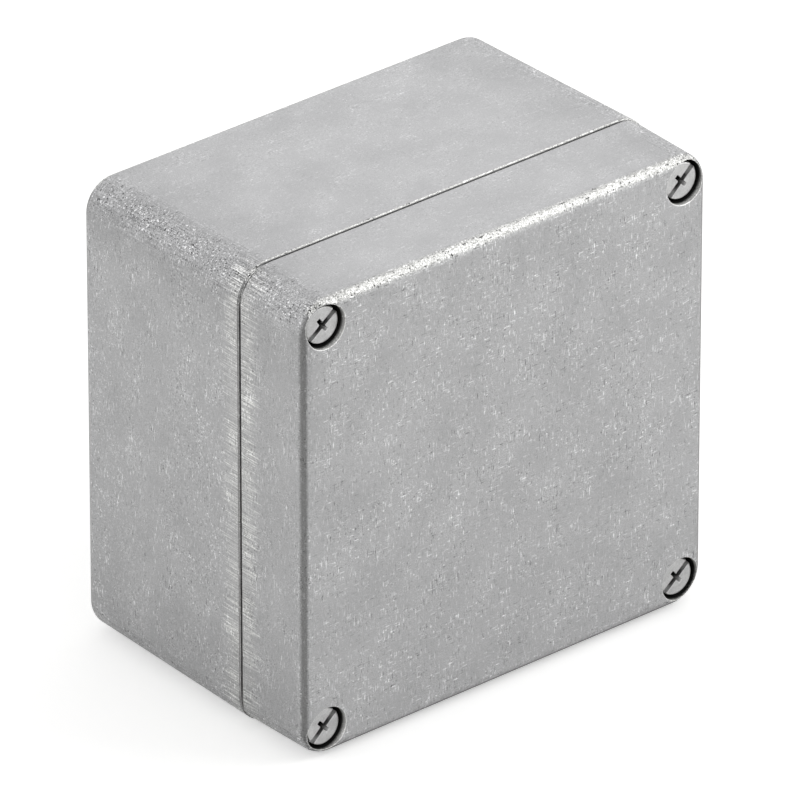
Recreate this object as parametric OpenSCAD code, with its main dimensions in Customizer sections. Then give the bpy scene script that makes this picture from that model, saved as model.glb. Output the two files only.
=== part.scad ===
// Die cast aluminium box: a deep base, a sealed lid and four captive lid screws.
//
// The box stands as it hangs on a wall: +Z is up, the lid faces -Y and the wall face is at +Y.
// The origin is at the middle of the underside. Inside the modules everything is drawn in the
// mould frame: x across, y up, z from the wall face (0) to the lid face (box_d).

/* [Box] */
// Width across the lid, at the joint
box_w = 122; // [110:1:200]
// Height along the wall, at the joint
box_h = 120; // [110:1:200]
// Depth from the wall face to the lid face
box_d = 80; // [70:1:140]
// Radius of the four outer corners, at the joint
corner_r = 9; // [7:0.5:11]
// Draft of the outer walls, in degrees, so that both castings leave their dies
draft = 1; // [0.5:0.25:1.5]

/* [Base casting] */
// Thickness of the base's side walls
base_wall = 4; // [3.5:0.25:5]
// Thickness of the base's floor
floor_t = 4; // [3:0.5:6]
// Radius of the edge round the wall face
back_edge_r = 3; // [1:0.5:4]
// Radius of the inside corners, wall to column
cavity_r = 4; // [3:0.5:6]
// Wall between each mounting well and the inside of the box
column_wall = 3; // [2.5:0.25:4]

/* [Lid casting] */
// Depth of the lid from the joint to its face
lid_d = 22; // [20:1:30]
// Thickness of the lid's front plate
lid_plate = 4; // [3:0.5:6]
// Radius of the edge round the lid face
face_edge_r = 3; // [1:0.5:4]
// How far the lid's rim stands back from the base's rim, on each side
lid_step = 0.3; // [0.1:0.05:0.5]

/* [Joint and seal] */
// Gap between the two rims: the lid stands on the four screw seats
joint_gap = 0.4; // [0.2:0.05:0.8]
// Chamfer of both rims' outer edges
joint_edge = 0.3; // [0.1:0.05:0.5]
// Width of the base's sealing tongue
tongue_w = 1.5; // [1:0.1:2]
// Height of the tongue above the base's rim
tongue_h = 2; // [1.5:0.1:2.5]
// Depth of the lid's seal groove
groove_d = 4; // [3.5:0.25:5]
// Lip between the seal groove and the inside of the lid
lip_w = 1.4; // [1:0.1:2]

/* [Lid screws] */
// Distance of each screw from the two outer walls beside it
screw_inset = 7.6; // [7.4:0.1:8.2]
// Thread diameter
thread_d = 6; // [5:0.5:6]
// Length of the thread at the screw's tip
thread_len = 8; // [6:1:9]
// Diameter of the waisted shank above the thread
waist_d = 4.7; // [3.8:0.1:4.8]
// Head diameter
head_d = 9.5; // [8.5:0.25:10]
// Head height
head_h = 3.6; // [3:0.1:4.5]
// How far the head's face lies below the lid face
head_sink = 1.5; // [0.5:0.1:3]
// Diameter of the well round each head
head_well_d = 11; // [10.6:0.2:12]
// Width of the slot across the head
slot_w = 1.3; // [1:0.1:1.6]
// Depth of that slot
slot_deep = 1.5; // [1:0.1:1.8]
// Width of the cross recess's blades
cross_w = 1; // [0.8:0.1:1.2]
// Reach of the cross recess, blade end to blade end
cross_span = 4.2; // [3.5:0.1:5]
// Depth of the cross recess
cross_deep = 2.2; // [1.9:0.1:2.5]
// Turn of each slot from level: top left, top right, bottom right, bottom left
slot_turns = [36, 42, 40, 42]; // [0:1:180]

/* [Retaining rings] */
// Outer diameter of the ring that keeps each screw in the lid
ring_d = 9.6; // [8:0.2:9.6]
// Thickness of the ring
ring_t = 1.2; // [0.8:0.1:1.6]
// Depth of its pocket in the lid's underside
ring_pocket = 3; // [2.5:0.1:4]
// Width of the raised seat round that pocket, on the base
seat_w = 1.6; // [1:0.1:1.6]

/* [Wall mounting] */
// Distance of the mounting holes from the outer walls, across
mount_inset_x = 8; // [8:0.5:10]
// Distance of the mounting holes from the outer walls, up and down
mount_inset_y = 19; // [18.5:0.5:24]
// Diameter of the mounting holes
mount_hole_d = 6.4; // [4.5:0.1:7]
// Diameter of the wells that let the mounting screws' heads in
mount_well_d = 11; // [9:0.5:11]
// Metal left under each mounting screw's head
mount_seat_t = 6; // [4:0.5:8]

/* [Plate pads] */
// Distance of the pads from the outer walls, across
pad_inset_x = 26; // [23:1:40]
// Distance of the pads from the outer walls, up and down
pad_inset_y = 37; // [34:1:45]
// Pad diameter
pad_d = 9; // [7:0.5:11]
// Pad height above the floor
pad_h = 6; // [4:0.5:10]
// Diameter of the tapped hole in each pad
pad_hole_d = 4.1; // [3.1:0.1:5]
// Depth of that hole
pad_hole_deep = 7; // [4:0.5:7]

/* [Earth terminal] */
// Distance of the earth boss from the left outer wall
earth_in = 31; // [26:1:45]
// Height of the earth boss above the underside
earth_up = 15; // [13:0.5:20]
// Boss diameter
earth_boss_d = 13; // [11:0.5:15]
// Boss height above the floor
earth_boss_h = 8; // [7:0.5:12]
// Thread diameter of the earth screw
earth_thread_d = 5; // [4:0.5:5]
// Length of that screw under its head
earth_len = 10; // [8:0.5:10]
// Head diameter of the earth screw
earth_head_d = 8.5; // [8:0.1:10]
// Head height of the earth screw
earth_head_h = 3.3; // [2.6:0.1:4]
// Thickness of the toothed washer under the clamp
tooth_washer_t = 0.8; // [0.7:0.1:1]
// Outer diameter of the toothed washer, over its teeth
tooth_washer_d = 9.6; // [9:0.2:10]
// Teeth on that washer
tooth_count = 12; // [8:1:16]
// Side of the square clamp plate
clamp_side = 12; // [11.6:0.1:13]
// Thickness of the clamp plate
clamp_t = 1.2; // [0.8:0.1:1.6]
// How far the clamp plate's two lips turn down
clamp_lip = 0.6; // [0.3:0.1:0.6]

/* [Clearances] */
// Each side of the tongue in the groove
groove_play = 0.6; // [0.3:0.1:0.7]
// Radial, screws through their plain holes
screw_play = 0.3; // [0.2:0.05:0.5]
// Radial, threads in their tapped holes
thread_play = 0.05; // [0.03:0.01:0.08]
// Radial, retaining rings round the waisted shanks
ring_play = 0.06; // [0.03:0.01:0.09]
// Radial, retaining rings in their pockets
pocket_play = 0.3; // [0.2:0.05:0.35]
// Between an undone screw's thread and its retaining ring
stop_play = 0.2; // [0.1:0.05:0.4]

/* [Hidden] */
$fn = 64;
over = 1; // how far a cut runs past the face it opens

// Levels, from the wall face
joint_z = box_d - lid_d;
rim_z = joint_z - joint_gap;
tongue_z = rim_z + tongue_h;
groove_z = joint_z + groove_d;
head_z = box_d - head_sink;
seat_z = head_z - head_h;
ring_z = joint_z + ring_pocket - ring_t;
thread_z = ring_z - stop_play - thread_len;
tip_z = thread_z - thread_len;
pad_z = floor_t + pad_h;
earth_z = floor_t + earth_boss_h;
clamp_z = earth_z + tooth_washer_t;
earth_head_z = clamp_z + clamp_t;

// Places, from the middle of the box
corners = [[-1, 1], [1, 1], [1, -1], [-1, -1]];
screw_x = box_w / 2 - screw_inset;
screw_y = box_h / 2 - screw_inset;
mount_x = box_w / 2 - mount_inset_x;
mount_y = box_h / 2 - mount_inset_y;
pad_x = box_w / 2 - pad_inset_x;
pad_y = box_h / 2 - pad_inset_y;
earth_x = earth_in - box_w / 2;
earth_y = earth_up - box_h / 2;

// The inside is two crossing rectangles that leave a column in each corner
inside_x = box_w / 2 - base_wall;
inside_y = box_h / 2 - base_wall;
column_r = mount_well_d / 2 + column_wall;
notch_x = mount_x - column_r;
notch_y = mount_y - column_r;

// Small forms
tip_room = 2;
tip_chamfer = 0.7;
head_round = 0.6;
boss_foot = 1;
tooth_w = 1.2;
tooth_reach = 1.2;
lip_t = 1.2;

// Puts the mould frame up against the wall
module stand() {
    translate([0, box_d / 2, box_h / 2]) rotate([90, 0, 0]) children();
}

module at_corners(x, y) {
    for (c = corners) translate([c[0] * x, c[1] * y, 0]) children();
}

module at_corner(n, x, y) {
    translate([corners[n - 1][0] * x, corners[n - 1][1] * y, 0]) children();
}

// A round solid or bore on z, between two levels
module round_bar(d, low, high) {
    translate([0, 0, low]) cylinder(d = d, h = high - low);
}

// Half section of a drafted wall: the rim's chamfer at 0, then the draft, then the round edge
module wall_section(r, deep, edge) {
    round_y = deep - edge;
    round_x = r - (round_y - joint_edge) * tan(draft) - edge / cos(draft);
    polygon([
        [0, 0],
        [r - joint_edge, 0],
        [r, joint_edge],
        [round_x + edge * cos(draft), round_y + edge * sin(draft)],
        [round_x, round_y],
        [round_x, deep],
        [0, deep]
    ]);
    translate([round_x, round_y]) intersection() {
        circle(edge);
        square(edge + over);
    }
}

// A casting's outer skin, from its rim at 0 to its face at deep
module skin(w, h, r, deep, edge) {
    core_x = w / 2 - r;
    core_y = h / 2 - r;
    translate([-core_x, -core_y, 0]) cube([2 * core_x, 2 * core_y, deep]);
    for (turn = [0, 180]) rotate([0, 0, turn]) {
        translate([core_x, core_y, 0]) rotate([90, 0, 0])
            linear_extrude(2 * core_y) wall_section(r, deep, edge);
        translate([-core_x, core_y, 0]) rotate([90, 0, 90])
            linear_extrude(2 * core_x) wall_section(r, deep, edge);
        translate([core_x, core_y, 0])
            rotate_extrude(angle = 90) wall_section(r, deep, edge);
        translate([-core_x, core_y, 0]) rotate([0, 0, 90])
            rotate_extrude(angle = 90) wall_section(r, deep, edge);
    }
}

module round_rect(x, y, r) {
    square([2 * (x - r), 2 * y], center = true);
    square([2 * x, 2 * (y - r)], center = true);
    at_corners(x - r, y - r) circle(r);
}

// The inside's outline, grown by d; its fillets round the columns stay centred on the wells
module inside_outline(d) {
    round_rect(inside_x + d, notch_y + d, cavity_r + d);
    round_rect(notch_x + d, inside_y + d, cavity_r + d);
    difference() {
        square([2 * mount_x, 2 * mount_y], center = true);
        at_corners(mount_x, mount_y) circle(column_r - d);
    }
}

module inside_block(low, high, d) {
    translate([0, 0, low]) linear_extrude(high - low) inside_outline(d);
}

// A ring as wide as the lid's seal groove
module seal_ring(low, high) {
    translate([0, 0, low]) linear_extrude(high - low) difference() {
        inside_outline(tongue_w + groove_play);
        inside_outline(-groove_play);
    }
}

// A boss on the floor, with a chamfered foot
module boss(d, h) {
    round_bar(d, floor_t - over, floor_t + h);
    translate([0, 0, floor_t]) cylinder(d1 = d + 2 * boss_foot, d2 = d, h = boss_foot);
}

module base() {
    seat_d = ring_d + 2 * pocket_play + 2 * seat_w;
    color("#a9abac") stand() difference() {
        union() {
            difference() {
                union() {
                    translate([0, 0, rim_z]) mirror([0, 0, 1])
                        skin(box_w, box_h, corner_r, rim_z, back_edge_r);
                    inside_block(rim_z - over, tongue_z, tongue_w);
                }
                inside_block(floor_t, tongue_z + over, 0);
            }
            at_corners(screw_x, screw_y) round_bar(seat_d, rim_z - over, joint_z);
            at_corners(pad_x, pad_y) boss(pad_d, pad_h);
            translate([earth_x, earth_y, 0]) boss(earth_boss_d, earth_boss_h);
        }
        at_corners(screw_x, screw_y) {
            round_bar(thread_d + 2 * thread_play, tip_z - tip_room, joint_z);
            round_bar(thread_d + 2 * screw_play, thread_z, joint_z + over);
        }
        at_corners(mount_x, mount_y) {
            round_bar(mount_hole_d, -over, joint_z);
            round_bar(mount_well_d, mount_seat_t, joint_z + over);
        }
        at_corners(pad_x, pad_y) round_bar(pad_hole_d, pad_z - pad_hole_deep, pad_z + over);
        translate([earth_x, earth_y, 0]) round_bar(
            earth_thread_d + 2 * thread_play,
            earth_head_z - earth_len - tip_room,
            earth_z + over
        );
    }
}

module lid() {
    color("#b0b2b3") stand() difference() {
        translate([0, 0, joint_z]) skin(
            box_w - 2 * lid_step,
            box_h - 2 * lid_step,
            corner_r - lid_step,
            lid_d,
            face_edge_r
        );
        inside_block(joint_z - over, box_d - lid_plate, -groove_play - lip_w);
        seal_ring(joint_z - over, groove_z);
        at_corners(screw_x, screw_y) {
            round_bar(ring_d + 2 * pocket_play, joint_z - over, joint_z + ring_pocket);
            round_bar(thread_d + 2 * screw_play, joint_z, box_d);
            round_bar(head_well_d, seat_z, box_d + over);
        }
    }
}

module gasket() {
    color("#3b3d3f") stand() seal_ring(tongue_z, groove_z);
}

// Half section of a lid screw: head with a round edge, waist, thread and chamfered tip
module lid_screw_section() {
    thread_r = thread_d / 2;
    round_x = head_d / 2 - head_round;
    round_z = head_z - head_round;
    polygon([
        [0, tip_z],
        [thread_r - tip_chamfer, tip_z],
        [thread_r, tip_z + tip_chamfer],
        [thread_r, thread_z],
        [waist_d / 2, thread_z],
        [waist_d / 2, seat_z],
        [head_d / 2, seat_z],
        [head_d / 2, round_z],
        [round_x, round_z],
        [round_x, head_z],
        [0, head_z]
    ]);
    translate([round_x, round_z]) intersection() {
        circle(head_round);
        square(head_round + over);
    }
}

// Slot and cross recess for a flat or a cross blade, cut down from level z
module drive_recess(z, slot_length) {
    translate([0, 0, z]) {
        cube([slot_length, slot_w, 2 * slot_deep], center = true);
        cube([cross_span, cross_w, 2 * cross_deep], center = true);
        cube([cross_w, cross_span, 2 * cross_deep], center = true);
    }
}

module lid_screw(n) {
    color("#c4c5c2") stand() at_corner(n, screw_x, screw_y) difference() {
        rotate_extrude() lid_screw_section();
        rotate([0, 0, slot_turns[n - 1]]) drive_recess(head_z, head_d + over);
    }
}

module screw_ring(n) {
    color("#e4e2da") stand() at_corner(n, screw_x, screw_y) difference() {
        round_bar(ring_d, ring_z, ring_z + ring_t);
        round_bar(waist_d + 2 * ring_play, ring_z - over, ring_z + ring_t + over);
    }
}

module at_earth() {
    stand() translate([earth_x, earth_y, 0]) children();
}

module earth_screw() {
    color("#c9c6b8") at_earth() difference() {
        union() {
            round_bar(earth_thread_d, earth_head_z - earth_len, earth_head_z + over);
            round_bar(earth_head_d, earth_head_z, earth_head_z + earth_head_h);
        }
        drive_recess(earth_head_z + earth_head_h, earth_head_d + over);
    }
}

module earth_tooth_washer() {
    ring_out = tooth_washer_d / 2 - tooth_reach;
    color("#b9bab6") at_earth() difference() {
        union() {
            round_bar(2 * ring_out, earth_z, clamp_z);
            for (i = [0 : tooth_count - 1]) rotate([0, 0, i * 360 / tooth_count])
                translate([ring_out - over, -tooth_w / 2, earth_z])
                    cube([tooth_reach + over, tooth_w, tooth_washer_t]);
        }
        round_bar(earth_thread_d + 2 * screw_play, earth_z - over, clamp_z + over);
    }
}

module earth_clamp() {
    color("#c9c6b8") at_earth() difference() {
        union() {
            translate([-clamp_side / 2, -clamp_side / 2, clamp_z])
                cube([clamp_side, clamp_side, clamp_t]);
            for (side = [0, 180]) rotate([0, 0, side])
                translate([clamp_side / 2 - lip_t, -clamp_side / 2, clamp_z - clamp_lip])
                    cube([lip_t, clamp_side, clamp_lip + clamp_t]);
        }
        round_bar(earth_thread_d + 2 * screw_play, clamp_z - over, earth_head_z + over);
    }
}

base();
lid();
gasket();
lid_screw(1);  // lid_screw_1
lid_screw(2);  // lid_screw_2
lid_screw(3);  // lid_screw_3
lid_screw(4);  // lid_screw_4
screw_ring(1);  // screw_ring_1
screw_ring(2);  // screw_ring_2
screw_ring(3);  // screw_ring_3
screw_ring(4);  // screw_ring_4
earth_screw();
earth_clamp();
earth_tooth_washer();
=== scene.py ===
"""Looks of a die cast aluminium box: tumbled castings, captive lid screws, seal and earth terminal.

Everything is in metres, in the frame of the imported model: +Z up, the lid towards -Y.
"""
import math

import bmesh
import bpy
from mathutils import Matrix, Vector


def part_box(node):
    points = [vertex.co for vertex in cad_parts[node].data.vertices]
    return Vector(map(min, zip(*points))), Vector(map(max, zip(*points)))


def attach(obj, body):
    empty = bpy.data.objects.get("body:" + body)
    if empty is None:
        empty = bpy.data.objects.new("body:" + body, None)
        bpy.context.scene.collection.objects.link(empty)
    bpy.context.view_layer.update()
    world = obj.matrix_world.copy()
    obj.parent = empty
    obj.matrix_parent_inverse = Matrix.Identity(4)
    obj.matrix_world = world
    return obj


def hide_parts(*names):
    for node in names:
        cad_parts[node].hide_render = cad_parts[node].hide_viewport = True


MM = 0.001

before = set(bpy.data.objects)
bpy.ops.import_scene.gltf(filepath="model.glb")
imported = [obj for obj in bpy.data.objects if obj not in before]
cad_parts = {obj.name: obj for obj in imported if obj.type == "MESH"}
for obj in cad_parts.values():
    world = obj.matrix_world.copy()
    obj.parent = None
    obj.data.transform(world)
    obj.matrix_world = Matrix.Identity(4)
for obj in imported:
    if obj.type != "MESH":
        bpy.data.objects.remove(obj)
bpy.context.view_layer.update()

SCREWS = (1, 2, 3, 4)
base_low, base_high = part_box("base")
lid_low, lid_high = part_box("lid")
joint_y = lid_high.y  # the lid's rim
rim_y = joint_y + 0.4 * MM  # the base's rim
half_w = base_high.x
half_h = (base_high.z - base_low.z) / 2
mid_z = (base_high.z + base_low.z) / 2
head_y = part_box("lid_screw_1")[0].y
well_x = -sum(c.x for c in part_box("lid_screw_1")) / 2
well_z = sum(c.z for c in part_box("lid_screw_1")) / 2 - mid_z


# ---------------------------------------------------------------- camera, light and floor


def hex_colour(code):
    """An sRGB hex code as the linear colour that Blender's sockets take."""
    parts = [int(code[i : i + 2], 16) / 255 for i in (1, 3, 5)]
    return (*[p / 12.92 if p <= 0.04045 else ((p + 0.055) / 1.055) ** 2.4 for p in parts], 1.0)


def add_node(tree, kind, inputs=None, **settings):
    """A new node with its settings. Each input is a value, a socket, or a node whose first output is used."""
    node = tree.nodes.new(kind)
    for name, value in settings.items():
        setattr(node, name, value)
    for name, value in (inputs or {}).items():
        if isinstance(value, bpy.types.Node):
            value = value.outputs[0]
        if isinstance(value, bpy.types.NodeSocket):
            tree.links.new(value, node.inputs[name])
        else:
            node.inputs[name].default_value = value
    return node


def make_camera():
    """A long lens, so that the box's parallel edges stay almost parallel."""
    swing, tilt, roll = -39.95, -29.22, -0.03  # degrees
    aside, distance, aloft = -1.23 * MM, 3093 * MM, 2.21 * MM
    turn = (
        Matrix.Rotation(math.radians(swing), 3, "Z")
        @ Matrix.Rotation(math.radians(tilt), 3, "X")
        @ Matrix.Rotation(math.radians(roll), 3, "Y")
    )
    aim = Vector((0, 0, 60 * MM))
    place = aim - turn @ Vector((aside, distance, aloft))
    data = bpy.data.cameras.new("camera")
    data.sensor_width = 36
    data.lens = 602.8
    data.clip_end = 20
    camera = bpy.data.objects.new("camera", data)
    facing = turn @ Matrix.Rotation(math.radians(90), 3, "X")
    camera.matrix_world = Matrix.Translation(place) @ facing.to_4x4()
    bpy.context.scene.collection.objects.link(camera)
    bpy.context.scene.camera = camera


def area_light(name, direction, distance, size, power, mirrored=True):
    """A square soft box that points at the middle of the object, left out of reflections if not mirrored."""
    data = bpy.data.lights.new(name, "AREA")
    data.size = size
    data.energy = power
    light = bpy.data.objects.new(name, data)
    light.visible_glossy = mirrored
    towards = Vector(direction).normalized()
    light.location = Vector((0, 0, mid_z)) + towards * distance
    light.rotation_euler = towards.to_track_quat("Z", "Y").to_euler()
    bpy.context.scene.collection.objects.link(light)


def make_world():
    """Even light from all round, seen as white by the camera and in reflections."""
    world = bpy.data.worlds.new("studio")
    bpy.context.scene.world = world
    world.use_nodes = True
    tree = world.node_tree
    tree.nodes.clear()
    path = add_node(tree, "ShaderNodeLightPath")
    seen = add_node(
        tree,
        "ShaderNodeMath",
        {0: path.outputs["Is Camera Ray"], 1: path.outputs["Is Glossy Ray"]},
        operation="MAXIMUM",
    )
    seen = add_node(
        tree, "ShaderNodeMath", {0: seen, 1: path.outputs["Is Transmission Ray"]}, operation="MAXIMUM"
    )
    strength = add_node(tree, "ShaderNodeMapRange", {"Value": seen, "To Min": 0.68, "To Max": 1.0})
    light = add_node(tree, "ShaderNodeBackground", {"Color": (1, 1, 1, 1), "Strength": strength})
    add_node(tree, "ShaderNodeOutputWorld", {"Surface": light})


def make_floor():
    """A plain pale floor that keeps the object's soft shadow."""
    bm = bmesh.new()
    level = Matrix.Translation((0, 0, base_low.z))
    bmesh.ops.create_grid(bm, x_segments=1, y_segments=1, size=4, matrix=level)
    mesh = bpy.data.meshes.new("floor")
    bm.to_mesh(mesh)
    bm.free()
    floor = bpy.data.objects.new("floor", mesh)
    bpy.context.scene.collection.objects.link(floor)
    paint = bpy.data.materials.new("matt_white_floor")
    paint.use_nodes = True
    tree = paint.node_tree
    tree.nodes.clear()
    path = add_node(tree, "ShaderNodeLightPath")
    mirrored = add_node(
        tree,
        "ShaderNodeMath",
        {0: path.outputs["Is Glossy Ray"], 1: path.outputs["Is Transmission Ray"]},
        operation="MAXIMUM",
    )
    lift = add_node(tree, "ShaderNodeMath", {0: path.outputs["Is Camera Ray"], 1: 0.38}, operation="MULTIPLY")
    lift = add_node(tree, "ShaderNodeMath", {0: mirrored, 1: 0.08, 2: lift}, operation="MULTIPLY_ADD")
    matt = add_node(tree, "ShaderNodeBsdfDiffuse", {"Color": hex_colour("#f0f0ef")})
    glow = add_node(tree, "ShaderNodeEmission", {"Color": (1, 1, 1, 1), "Strength": lift})
    both = add_node(tree, "ShaderNodeAddShader", {0: matt, 1: glow})
    add_node(tree, "ShaderNodeOutputMaterial", {"Surface": both})
    mesh.materials.append(paint)


# ---------------------------------------------------------------- materials


def new_material(name):
    """A material, its tree, and places in mm from the middle of the box's front and back."""
    material = bpy.data.materials.new(name)
    material.use_nodes = True
    material.node_tree.nodes.clear()
    tree = material.node_tree
    place = add_node(tree, "ShaderNodeTexCoord")
    in_mm = add_node(
        tree,
        "ShaderNodeMapping",
        {"Vector": place.outputs["Object"], "Location": (0, 0, -mid_z / MM), "Scale": [1 / MM] * 3},
    )
    return material, tree, in_mm


def finish_material(tree, colour, roughness, height, depth_mm, metallic=1.0):
    """Joins the patterns to the shader. The height's 0 to 1 is depth_mm of relief."""
    bump = add_node(tree, "ShaderNodeBump", {"Strength": 1.0, "Distance": depth_mm * MM, "Height": height})
    shader = add_node(
        tree,
        "ShaderNodeBsdfPrincipled",
        {"Base Color": colour, "Metallic": metallic, "Roughness": roughness, "Normal": bump},
    )
    add_node(tree, "ShaderNodeOutputMaterial", {"Surface": shader})


def from_screw_axis(tree, at):
    """The distance in mm from the nearest lid screw's axis, at the place that the XYZ node splits."""
    aside = add_node(tree, "ShaderNodeMath", {0: at.outputs[0]}, operation="ABSOLUTE")
    aloft = add_node(tree, "ShaderNodeMath", {0: at.outputs[2]}, operation="ABSOLUTE")
    aside = add_node(tree, "ShaderNodeMath", {0: aside, 1: well_x / MM}, operation="SUBTRACT")
    aloft = add_node(tree, "ShaderNodeMath", {0: aloft, 1: well_z / MM}, operation="SUBTRACT")
    off_axis = add_node(tree, "ShaderNodeCombineXYZ", {0: aside, 1: aloft})
    return add_node(tree, "ShaderNodeVectorMath", {0: off_axis}, operation="LENGTH").outputs["Value"]


def strokes(tree, place, width_mm, length_mm, along, turn):
    """Strokes along an axis (0, 1 or 2): -1 is a dark one, 1 a bright one, and most are faint."""
    size = [1 / width_mm] * 3
    size[along] = 1 / length_mm
    turned = [math.radians(t) for t in turn]
    stretched = add_node(
        tree, "ShaderNodeMapping", {"Vector": place, "Rotation": turned, "Scale": size}
    )
    cells = add_node(tree, "ShaderNodeTexVoronoi", {"Vector": stretched, "Scale": 0.6, "Randomness": 1.0})
    chance = add_node(tree, "ShaderNodeSeparateColor", {0: cells.outputs["Color"]})
    chance = add_node(
        tree, "ShaderNodeMapRange", {"Value": chance.outputs[0], "To Min": -0.95, "To Max": 1.1}
    )
    shade = add_node(tree, "ShaderNodeMath", {0: chance, 1: 3.0}, operation="POWER")
    near = add_node(
        tree,
        "ShaderNodeMapRange",
        {"Value": cells.outputs["Distance"], "From Min": 0.2, "From Max": 0.42, "To Min": 1.0, "To Max": 0.0},
    )
    return add_node(tree, "ShaderNodeMath", {0: near, 1: shade}, operation="MULTIPLY")


def cast_aluminium():
    """Die cast aluminium, tumbled with loose stones and ground flush beside the joint with a belt.

    Tumbling leaves a soft grey cloudiness and crowds of tiny bright and dark dents and strokes, most
    of them on the corners and the front edge. The belt leaves fine lines across the joint.
    """
    material, tree, place = new_material("tumbled_die_cast_aluminium")
    at = add_node(tree, "ShaderNodeSeparateXYZ", {0: place})
    across = add_node(tree, "ShaderNodeMath", {0: at.outputs[0]}, operation="ABSOLUTE")
    across = add_node(tree, "ShaderNodeMath", {0: across, 1: half_w / MM}, operation="DIVIDE")
    upward = add_node(tree, "ShaderNodeMath", {0: at.outputs[2]}, operation="ABSOLUTE")
    upward = add_node(tree, "ShaderNodeMath", {0: upward, 1: half_h / MM}, operation="DIVIDE")
    furthest = add_node(tree, "ShaderNodeMath", {0: across, 1: upward}, operation="MAXIMUM")
    nearest = add_node(tree, "ShaderNodeMath", {0: across, 1: upward}, operation="MINIMUM")
    outside = add_node(tree, "ShaderNodeMapRange", {"Value": furthest, "From Min": 0.94, "From Max": 0.95})
    sideways = add_node(tree, "ShaderNodeMapRange", {"Value": across, "From Min": 0.87, "From Max": 0.95})

    # the round edges of the lid's face and of the back, told by their slanting surface: a painted highlight
    # along the top, and a painted dark reflection on the upright and lower ones
    facing = add_node(tree, "ShaderNodeNewGeometry")
    normal = add_node(tree, "ShaderNodeVectorMath", {0: facing.outputs["Normal"]}, operation="ABSOLUTE")
    normal = add_node(tree, "ShaderNodeSeparateXYZ", {0: normal})
    rising = add_node(
        tree, "ShaderNodeMapRange", {"Value": normal.outputs[1], "From Min": 0.2, "From Max": 0.5}
    )
    falling = add_node(
        tree, "ShaderNodeMapRange", {"Value": normal.outputs[1], "From Min": 0.99, "From Max": 0.88}
    )
    edge = add_node(tree, "ShaderNodeMath", {0: rising, 1: falling}, operation="MULTIPLY")
    edge = add_node(tree, "ShaderNodeMath", {0: edge, 1: outside}, operation="MULTIPLY")
    upright = add_node(
        tree, "ShaderNodeMath", {0: normal.outputs[0], 1: normal.outputs[2]}, operation="SUBTRACT"
    )
    upright = add_node(tree, "ShaderNodeMapRange", {"Value": upright, "From Min": 0.0, "From Max": 0.08})
    below = add_node(tree, "ShaderNodeMath", {0: at.outputs[2], 1: 0.0}, operation="LESS_THAN")
    shaded = add_node(tree, "ShaderNodeMath", {0: below, 1: upright}, operation="MAXIMUM")
    steep = add_node(
        tree, "ShaderNodeMapRange", {"Value": normal.outputs[1], "From Min": 0.3, "From Max": 0.6}
    )
    shallow = add_node(
        tree, "ShaderNodeMapRange", {"Value": normal.outputs[1], "From Min": 0.94, "From Max": 0.8}
    )
    painted_dark_reflection = add_node(tree, "ShaderNodeMath", {0: shaded, 1: steep}, operation="MULTIPLY")
    painted_dark_reflection = add_node(tree, "ShaderNodeMath", {0: painted_dark_reflection, 1: shallow}, operation="MULTIPLY")
    painted_dark_reflection = add_node(tree, "ShaderNodeMath", {0: edge, 1: painted_dark_reflection}, operation="MULTIPLY")
    painted_highlight = add_node(tree, "ShaderNodeMath", {0: 1.0, 1: shaded}, operation="SUBTRACT")
    painted_highlight = add_node(tree, "ShaderNodeMath", {0: edge, 1: painted_highlight}, operation="MULTIPLY")

    # clouds 12 mm and patches 6 mm across, and a grain of 0.32 mm, coarser than the real one so that it shows
    clouds = add_node(
        tree, "ShaderNodeTexNoise", {"Vector": place, "Scale": 1 / 12, "Detail": 4, "Roughness": 0.55}
    )
    patches = add_node(
        tree, "ShaderNodeTexNoise", {"Vector": place, "Scale": 1 / 6, "Detail": 4, "Roughness": 0.7}
    )
    grain = add_node(
        tree, "ShaderNodeTexNoise", {"Vector": place, "Scale": 1 / 0.32, "Detail": 2, "Roughness": 0.6}
    )

    # dents 0.45 mm across, and strokes 0.27 mm wide and up to 1.6 mm long: up, across and slanting
    marks = strokes(tree, place, 0.45, 0.45, 0, (0, 0, 0))
    for length_mm, along, turn in ((1.6, 2, (25, 6, 0)), (1.4, 0, (0, 9, 12)), (1.2, 2, (50, 40, 0))):
        more = strokes(tree, place, 0.27, length_mm, along, turn)
        marks = add_node(tree, "ShaderNodeMath", {0: marks, 1: more}, operation="ADD")

    # they crowd in patches, most of all on knocked corners and the edge with the painted highlight, and spare
    # the top
    crowd = add_node(
        tree,
        "ShaderNodeMapRange",
        {"Value": patches, "From Min": 0.42, "From Max": 0.62, "To Min": 0.42, "To Max": 1.12},
    )
    spared = add_node(
        tree,
        "ShaderNodeMapRange",
        {"Value": upward, "From Min": 0.965, "From Max": 0.99, "To Min": 1.0, "To Max": 0.42},
    )
    crowd = add_node(tree, "ShaderNodeMath", {0: crowd, 1: spared}, operation="MULTIPLY")
    knocked = add_node(tree, "ShaderNodeMapRange", {"Value": nearest, "From Min": 0.8, "From Max": 0.95})
    knocked = add_node(tree, "ShaderNodeMath", {0: knocked, 1: patches}, operation="MULTIPLY")
    knocked = add_node(tree, "ShaderNodeMath", {0: knocked, 1: 3.6}, operation="MULTIPLY")
    crowd = add_node(tree, "ShaderNodeMath", {0: crowd, 1: knocked}, operation="MAXIMUM")
    crowd = add_node(tree, "ShaderNodeMath", {0: painted_highlight, 1: 1.6, 2: crowd}, operation="MULTIPLY_ADD")
    crowded = add_node(tree, "ShaderNodeMath", {0: marks, 1: crowd}, operation="MULTIPLY")

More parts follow.
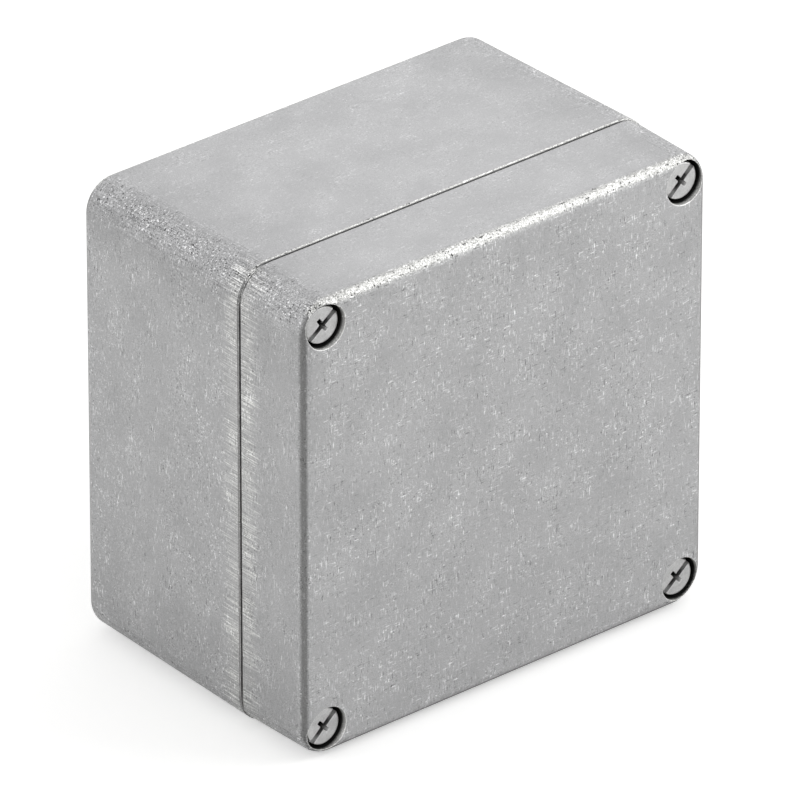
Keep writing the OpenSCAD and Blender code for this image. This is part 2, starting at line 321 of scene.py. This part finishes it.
    # belt lines 9 mm long, 0.25 mm apart, coarser than the real ones so that they show: clear on a
    # ragged band each side of the joint, and faint on the knocked corners
    drawn = add_node(tree, "ShaderNodeMapping", {"Vector": place, "Scale": (1 / 0.25, 1 / 9, 1 / 0.25)})
    lines = add_node(
        tree, "ShaderNodeTexNoise", {"Vector": drawn, "Scale": 1.0, "Detail": 1, "Roughness": 0.5}
    )
    drag = add_node(tree, "ShaderNodeMath", {0: lines, 1: 0.5}, operation="SUBTRACT")
    drag = add_node(tree, "ShaderNodeMath", {0: drag, 1: knocked}, operation="MULTIPLY")
    crowded = add_node(tree, "ShaderNodeMath", {0: drag, 1: 1.1, 2: crowded}, operation="MULTIPLY_ADD")
    behind = add_node(tree, "ShaderNodeMath", {0: at.outputs[1], 1: joint_y / MM}, operation="SUBTRACT")
    reach = add_node(tree, "ShaderNodeMath", {0: behind}, operation="ABSOLUTE")
    ragged = add_node(tree, "ShaderNodeMath", {0: lines, 1: -12.0, 2: 6.0}, operation="MULTIPLY_ADD")
    reach = add_node(tree, "ShaderNodeMath", {0: reach, 1: ragged}, operation="ADD")
    ground = add_node(
        tree,
        "ShaderNodeMapRange",
        {"Value": reach, "From Min": 2.4, "From Max": 5.2, "To Min": 1.0, "To Max": 0.0},
    )
    ground = add_node(tree, "ShaderNodeMath", {0: ground, 1: sideways}, operation="MULTIPLY")
    faded = add_node(
        tree, "ShaderNodeMapRange", {"Value": patches, "From Min": 0.4, "From Max": 0.6, "To Min": 0.45}
    )
    ground = add_node(tree, "ShaderNodeMath", {0: ground, 1: faded}, operation="MULTIPLY")

    # colour: grey clouds, paler and darker belt lines, then the painted highlight and the painted dark
    # reflection on the edges
    colour = add_node(
        tree,
        "ShaderNodeMix",
        {0: clouds, 6: hex_colour("#aeaeaf"), 7: hex_colour("#c8c8c9")},
        data_type="RGBA",
    ).outputs[2]
    line_shade = add_node(tree, "ShaderNodeMapRange", {"Value": lines, "From Min": 0.36, "From Max": 0.66})
    ground_colour = add_node(
        tree,
        "ShaderNodeMix",
        {0: line_shade, 6: hex_colour("#a4a4a4"), 7: hex_colour("#ececea")},
        data_type="RGBA",
    ).outputs[2]
    colour = add_node(
        tree, "ShaderNodeMix", {0: ground, 6: colour, 7: ground_colour}, data_type="RGBA"
    ).outputs[2]
    # painted highlight: the top round edges are lightened
    colour = add_node(
        tree, "ShaderNodeMix", {0: painted_highlight, 6: colour, 7: hex_colour("#c6c6c4")}, data_type="RGBA"
    ).outputs[2]
    # painted dark reflection: the upright and lower round edges are darkened
    colour = add_node(
        tree, "ShaderNodeMix", {0: painted_dark_reflection, 6: colour, 7: hex_colour("#848484")}, data_type="RGBA"
    ).outputs[2]

    # the wells' bores get painted light at the lip and painted shade below it
    off_axis = from_screw_axis(tree, at)
    bore = add_node(tree, "ShaderNodeMath", {0: off_axis, 1: 5.65}, operation="LESS_THAN")
    deep = add_node(tree, "ShaderNodeMath", {0: at.outputs[1], 1: lid_low.y / MM}, operation="SUBTRACT")
    in_lid = add_node(tree, "ShaderNodeMath", {0: deep, 1: 5.5}, operation="LESS_THAN")
    bore = add_node(tree, "ShaderNodeMath", {0: bore, 1: in_lid}, operation="MULTIPLY")
    deep = add_node(tree, "ShaderNodeMapRange", {"Value": deep, "From Min": 0.8, "From Max": 1.6})
    bore_light_and_shade = add_node(
        tree,
        "ShaderNodeMix",
        {0: deep, 6: hex_colour("#e4e4e2"), 7: hex_colour("#4c4c4b")},
        data_type="RGBA",
    ).outputs[2]
    colour = add_node(
        tree, "ShaderNodeMix", {0: bore, 6: colour, 7: bore_light_and_shade}, data_type="RGBA"
    ).outputs[2]

    # the grain and the marks lighten and darken all of it, and painted shade darkens the outline a little
    # towards its corners
    swing = add_node(tree, "ShaderNodeMath", {0: crowd, 1: 1.15, 2: 0.12}, operation="MULTIPLY_ADD")
    shade = add_node(tree, "ShaderNodeMath", {0: grain, 1: 0.5}, operation="SUBTRACT")
    shade = add_node(tree, "ShaderNodeMath", {0: shade, 1: swing, 2: 1.0}, operation="MULTIPLY_ADD")
    shade = add_node(tree, "ShaderNodeMath", {0: crowded, 1: 0.5, 2: shade}, operation="MULTIPLY_ADD")
    painted_corner_shade = add_node(
        tree,
        "ShaderNodeMapRange",
        {"Value": nearest, "From Min": 0.55, "From Max": 0.95, "To Min": 0.0, "To Max": -0.14},
    )
    shade = add_node(tree, "ShaderNodeMath", {0: painted_corner_shade, 1: outside, 2: shade}, operation="MULTIPLY_ADD")
    colour = add_node(tree, "ShaderNodeVectorMath", {0: colour, "Scale": shade}, operation="SCALE").outputs[0]

    # roughness: ground places are smoother
    roughness = add_node(tree, "ShaderNodeMapRange", {"Value": ground, "To Min": 0.5, "To Max": 0.42})

    # relief: dents and strokes rise and sink, grain and lines ripple
    ripple = add_node(tree, "ShaderNodeMix", {0: ground, 2: grain, 3: lines})
    height = add_node(tree, "ShaderNodeMath", {0: crowded, 1: 0.3, 2: ripple}, operation="MULTIPLY_ADD")
    finish_material(tree, colour, roughness, height, 0.035)
    return material


def stainless_steel():
    """Stainless steel, cold headed and rolled.

    It looks smoother and a little whiter than the castings, satin, with faint rings on the head.
    """
    material, tree, place = new_material("cold_headed_stainless_steel")
    at = add_node(tree, "ShaderNodeSeparateXYZ", {0: place})
    off_axis = from_screw_axis(tree, at)

    # rings 0.5 mm apart, coarser than the real ones so that they show
    rings = add_node(
        tree, "ShaderNodeTexNoise", {"W": off_axis, "Scale": 2.0, "Detail": 2}, noise_dimensions="1D"
    )
    grain = add_node(
        tree, "ShaderNodeTexNoise", {"Vector": place, "Scale": 1 / 0.4, "Detail": 3, "Roughness": 0.6}
    )
    clouds = add_node(tree, "ShaderNodeTexNoise", {"Vector": place, "Scale": 1 / 3, "Detail": 2})
    shade = add_node(tree, "ShaderNodeMath", {0: grain, 1: clouds}, operation="ADD")
    shade = add_node(tree, "ShaderNodeMath", {0: rings, 1: 0.4, 2: shade}, operation="MULTIPLY_ADD")
    shade = add_node(tree, "ShaderNodeMapRange", {"Value": shade, "From Min": 0.8, "From Max": 1.6})
    colour = add_node(
        tree,
        "ShaderNodeMix",
        {0: shade, 6: hex_colour("#b4b4b4"), 7: hex_colour("#d8d8d8")},
        data_type="RGBA",
    ).outputs[2]

    # shade in the middle of the slot and in the recess, which are open only at the head's face
    sunk = add_node(tree, "ShaderNodeMath", {0: at.outputs[1], 1: head_y / MM}, operation="SUBTRACT")
    top = add_node(tree, "ShaderNodeMath", {0: sunk, 1: 3.4}, operation="LESS_THAN")
    sunk = add_node(tree, "ShaderNodeMapRange", {"Value": sunk, "From Min": 0.3, "From Max": 2.0})
    middle = add_node(tree, "ShaderNodeMapRange", {"Value": off_axis, "From Min": 3.2, "From Max": 0.8})
    hollow = add_node(tree, "ShaderNodeMath", {0: sunk, 1: top}, operation="MULTIPLY")
    hollow = add_node(tree, "ShaderNodeMath", {0: hollow, 1: middle}, operation="MULTIPLY")
    colour = add_node(
        tree, "ShaderNodeMix", {0: hollow, 6: colour, 7: hex_colour("#303030")}, data_type="RGBA"
    ).outputs[2]
    roughness = add_node(tree, "ShaderNodeMapRange", {"Value": grain, "To Min": 0.28, "To Max": 0.42})
    height = add_node(tree, "ShaderNodeMath", {0: rings, 1: 0.5, 2: grain}, operation="MULTIPLY_ADD")
    finish_material(tree, colour, roughness, height, 0.008)
    return material


def grained_material(name, dark, light, grain_mm, rough, depth_mm, metallic):
    """A surface with one fine grain and clouds 4 mm across."""
    material, tree, place = new_material(name)
    grain = add_node(
        tree, "ShaderNodeTexNoise", {"Vector": place, "Scale": 1 / grain_mm, "Detail": 3, "Roughness": 0.6}
    )
    clouds = add_node(tree, "ShaderNodeTexNoise", {"Vector": place, "Scale": 1 / 4, "Detail": 2})
    shade = add_node(tree, "ShaderNodeMath", {0: grain, 1: clouds}, operation="ADD")
    shade = add_node(tree, "ShaderNodeMapRange", {"Value": shade, "From Min": 0.7, "From Max": 1.3})
    colour = add_node(
        tree, "ShaderNodeMix", {0: shade, 6: hex_colour(dark), 7: hex_colour(light)}, data_type="RGBA"
    ).outputs[2]
    roughness = add_node(
        tree, "ShaderNodeMapRange", {"Value": grain, "To Min": rough - 0.06, "To Max": rough + 0.06}
    )
    finish_material(tree, colour, roughness, grain, depth_mm, metallic)
    return material


# ---------------------------------------------------------------- pieces


def merged_copy(node):
    """A CAD solid's mesh as one closed surface, its flat faces merged so that rounds run evenly."""
    bm = bmesh.new()
    bm.from_mesh(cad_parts[node].data)
    bmesh.ops.remove_doubles(bm, verts=bm.verts, dist=0.001 * MM)
    bmesh.ops.dissolve_limit(bm, verts=bm.verts, edges=bm.edges, angle_limit=math.radians(0.2))
    return bm


def sharp_edges(bm):
    """The edges that turn by more than 32 degrees, which leaves out the facets of round walls."""
    return [e for e in bm.edges if len(e.link_faces) == 2 and e.calc_face_angle(0) > math.radians(32)]


def round_edges(bm, edges, width_mm, segments=2):
    """Rounds the edges, each side of them over width_mm."""
    bmesh.ops.bevel(
        bm,
        geom=edges,
        offset=width_mm * MM,
        offset_type="OFFSET",
        segments=segments,
        profile=0.5,
        affect="EDGES",
        clamp_overlap=False,
        material=-1,
    )


def middle_of(node):
    low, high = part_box(node)
    return (low + high) / 2


def from_axis(spot, middle):
    """How far a point is from an axis along Y through middle."""
    return math.hypot(spot.x - middle.x, spot.z - middle.z)


def set_radius(vert, middle, radius):
    """Moves a vertex to that distance from an axis along Y through middle."""
    part = radius / from_axis(vert.co, middle)
    vert.co.x = middle.x + (vert.co.x - middle.x) * part
    vert.co.z = middle.z + (vert.co.z - middle.z) * part


def base_casting():
    """The base: its rim's outer edge is rounded where the lid meets it, and other edges just broken.

    Where a screw seat runs out to the rim's corner there is no room for a round, so both stay sharp.
    """
    bm = merged_copy("base")
    seats = [middle_of(f"lid_screw_{n}") for n in SCREWS]
    near_seat = 7.1 * MM
    corner = math.hypot(half_w, half_h) - 5 * MM
    rim = []
    fine = []
    for edge in sharp_edges(bm):
        middle = (edge.verts[0].co + edge.verts[1].co) / 2
        spots = [v.co - Vector((0, rim_y, mid_z)) for v in edge.verts]
        at_side = [max(abs(s.x) - half_w, abs(s.z) - half_h) > -0.5 * MM for s in spots]
        at_corner = [math.hypot(s.x, s.z) > corner for s in spots]
        if any(abs(s.y) > 0.01 * MM for s in spots):
            fine.append(edge)
        elif min(from_axis(middle, seat) for seat in seats) < near_seat:
            continue
        elif all(side or turn for side, turn in zip(at_side, at_corner)):
            rim.append(edge)
        else:
            fine.append(edge)
    round_edges(bm, rim, 0.2)
    round_edges(bm, [e for e in fine if e.is_valid], 0.15)
    return bm


def lid_casting():
    """The lid: the screw wells have a rubbed lip, and every other edge is just broken."""
    bm = merged_copy("lid")
    wells = [middle_of(f"lid_screw_{n}") for n in SCREWS]
    lips = []
    fine = []
    for edge in sharp_edges(bm):
        on_face = all(v.co.y < lid_low.y + 0.01 * MM for v in edge.verts)
        at_well = all(min(from_axis(v.co, well) for well in wells) < 5.6 * MM for v in edge.verts)
        if on_face and at_well:
            lips.append(edge)
        else:
            fine.append(edge)
    round_edges(bm, lips, 0.25)
    round_edges(bm, [e for e in fine if e.is_valid], 0.15)
    return bm


def captive_screw(node):
    """A cheese head screw with a slot, a tapered cross recess and an M6 x 1 thread on its end."""
    bm = merged_copy(node)
    low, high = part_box(node)
    middle = middle_of(node)
    neck_y = high.y - 8 * MM  # the thread is 8 mm long
    slot_y = low.y + 1.5 * MM
    recess_y = low.y + 2.2 * MM
    root = 2.42 * MM
    hair = 0.01 * MM
    for vert in bm.verts:
        if vert.co.y > neck_y - hair and from_axis(vert.co, middle) > root:
            set_radius(vert, middle, root)
        if abs(vert.co.y - recess_y) < hair and from_axis(vert.co, middle) < 3 * MM:
            set_radius(vert, middle, from_axis(vert.co, middle) * 0.5)
            vert.co.y += 0.8 * MM
        if abs(vert.co.y - slot_y) < hair:
            vert.co.y -= 0.25 * MM
    round_edges(bm, sharp_edges(bm), 0.16)

    # one ridge of the thread, swept once round for each 1 mm, then thinned at both ends
    start = Vector((middle.x, neck_y + 0.6 * MM, middle.z))
    corners = ((2.35, -0.44), (2.35, 0.44), (2.97, 0.07), (2.97, -0.07))
    ring = [bm.verts.new(start + Vector((out * MM, up * MM, 0))) for out, up in corners]
    ridge = bm.faces.new(ring)
    before = set(bm.verts) - set(ring)
    turns = 7
    steps = 28 * turns
    bmesh.ops.spin(
        bm,
        geom=[ridge, *ridge.edges, *ring],
        cent=start,
        axis=(0, 1, 0),
        dvec=(0, turns * MM / steps, 0),
        angle=math.tau * turns,
        steps=steps,
        use_merge=False,
    )
    for vert in bm.verts:
        if vert not in before:
            room = min(vert.co.y - neck_y, high.y - vert.co.y) + 2.3 * MM
            if from_axis(vert.co, middle) > room:
                set_radius(vert, middle, room)
    bmesh.ops.holes_fill(bm, edges=[e for e in bm.edges if e.is_boundary])
    return bm


def moulded_copy(node, edge_mm, segments=2):
    """A merged copy of a CAD solid with its sharp edges rounded."""
    bm = merged_copy(node)
    round_edges(bm, sharp_edges(bm), edge_mm, segments)
    return bm


def place_piece(bm, name, material, slot, body, *nodes):
    """Makes the mesh an object that rides on its body and stands for its CAD nodes."""
    bmesh.ops.recalc_face_normals(bm, faces=bm.faces)
    mesh = bpy.data.meshes.new(name)
    bm.to_mesh(mesh)
    bm.free()
    mesh.shade_smooth()
    mesh.set_sharp_from_angle(angle=math.radians(50))
    mesh.materials.append(material)
    piece = bpy.data.objects.new(name, mesh)
    bpy.context.scene.collection.objects.link(piece)
    even = piece.modifiers.new("even_shading", "WEIGHTED_NORMAL")
    even.keep_sharp = True
    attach(piece, body)
    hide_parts(*nodes)


make_camera()
area_light("key_softbox", (0.75, 0.6, 0.45), 1.6, 0.9, 1.0)
area_light("front_softbox", (0.57, -0.49, 0.66), 1.6, 0.8, 3.7)
area_light("left_panel", (-0.9, 0.55, 0.4), 0.7, 0.4, 1.0, mirrored=False)
area_light("side_panel", (0.85, -0.55, 0.4), 0.45, 0.3, 0.3)
make_world()
make_floor()

cast = cast_aluminium()
steel = stainless_steel()

# moulded sponge rubber looks matt and almost black, with a fine skin, and shows as a dark line in its groove
rubber = grained_material("moulded_sponge_rubber", "#1d1e1f", "#2c2d2e", 0.35, 0.8, 0.03, 0.0)

# natural nylon is cream white with a soft sheen, so its rings stand out from the metal
nylon = grained_material("natural_nylon", "#dcd8ca", "#e9e6da", 0.8, 0.45, 0.01, 0.0)

# stamped brass is dull yellow with a slight tarnish, which marks the earth terminal
brass = grained_material("stamped_brass", "#b89a5c", "#d3b877", 0.6, 0.32, 0.01, 1.0)

place_piece(base_casting(), "base_casting", cast, "cast_aluminium", "base", "base")
place_piece(lid_casting(), "lid_casting", cast, "cast_aluminium", "lid", "lid")
place_piece(moulded_copy("gasket", 0.4, 3), "lid_seal", rubber, "seal_rubber", "lid", "gasket")
for n in SCREWS:
    screw = f"lid_screw_{n}"
    ring = f"screw_ring_{n}"
    place_piece(captive_screw(screw), f"captive_screw_{n}", steel, "stainless_steel", screw, screw)
    place_piece(moulded_copy(ring, 0.15), f"nylon_ring_{n}", nylon, "ring_nylon", ring, ring)
screw = moulded_copy("earth_screw", 0.1)
clamp = moulded_copy("earth_clamp", 0.15)
washer = moulded_copy("earth_tooth_washer", 0.08)
place_piece(screw, "earth_terminal_screw", brass, "earth_brass", "base", "earth_screw")
place_piece(clamp, "earth_clamp_plate", brass, "earth_brass", "base", "earth_clamp")
place_piece(washer, "earth_toothed_washer", steel, "stainless_steel", "base", "earth_tooth_washer")

bpy.context.scene.view_settings.view_transform = "Standard"
